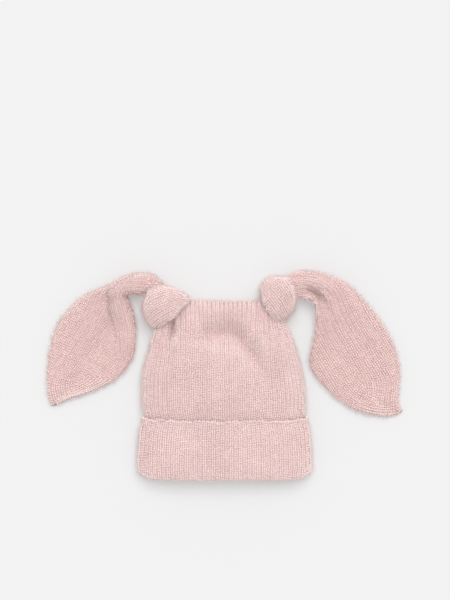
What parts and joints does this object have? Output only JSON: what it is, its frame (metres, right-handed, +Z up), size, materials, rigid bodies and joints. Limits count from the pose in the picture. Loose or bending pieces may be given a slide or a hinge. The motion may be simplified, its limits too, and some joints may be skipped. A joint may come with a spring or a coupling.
{
  "type": "baby hat with ears",
  "caption": "Soft ribbed knit baby hat lying flat: hollow crown, turned-up cuff, and long pointed ears, each tied in a knot at a top corner.",
  "frame": {"origin": "on the table under the middle of the hat's back, halfway between the cuff's bottom fold and the crown's top edge", "axes": "+X across the hat towards its right ear as seen from above, +Y from the mouth towards the top edge, +Z up from the table"},
  "size_m": [0.3573, 0.2079, 0.03],
  "materials": {
    "crown_knit": "soft brushed rib knit, pale dusty pink",
    "cuff_knit": "soft brushed rib knit, pale dusty pink",
    "knot_knit": "soft brushed rib knit, pale dusty pink",
    "ear_knit": "soft brushed knit, pale dusty pink"
  },
  "bodies": {
    "root": {"crown": "crown_knit", "cuff": "cuff_knit", "knot_left": "knot_knit", "knot_right": "knot_knit", "ear_left": "ear_knit", "ear_right": "ear_knit"}
  },
  "joints": []
}
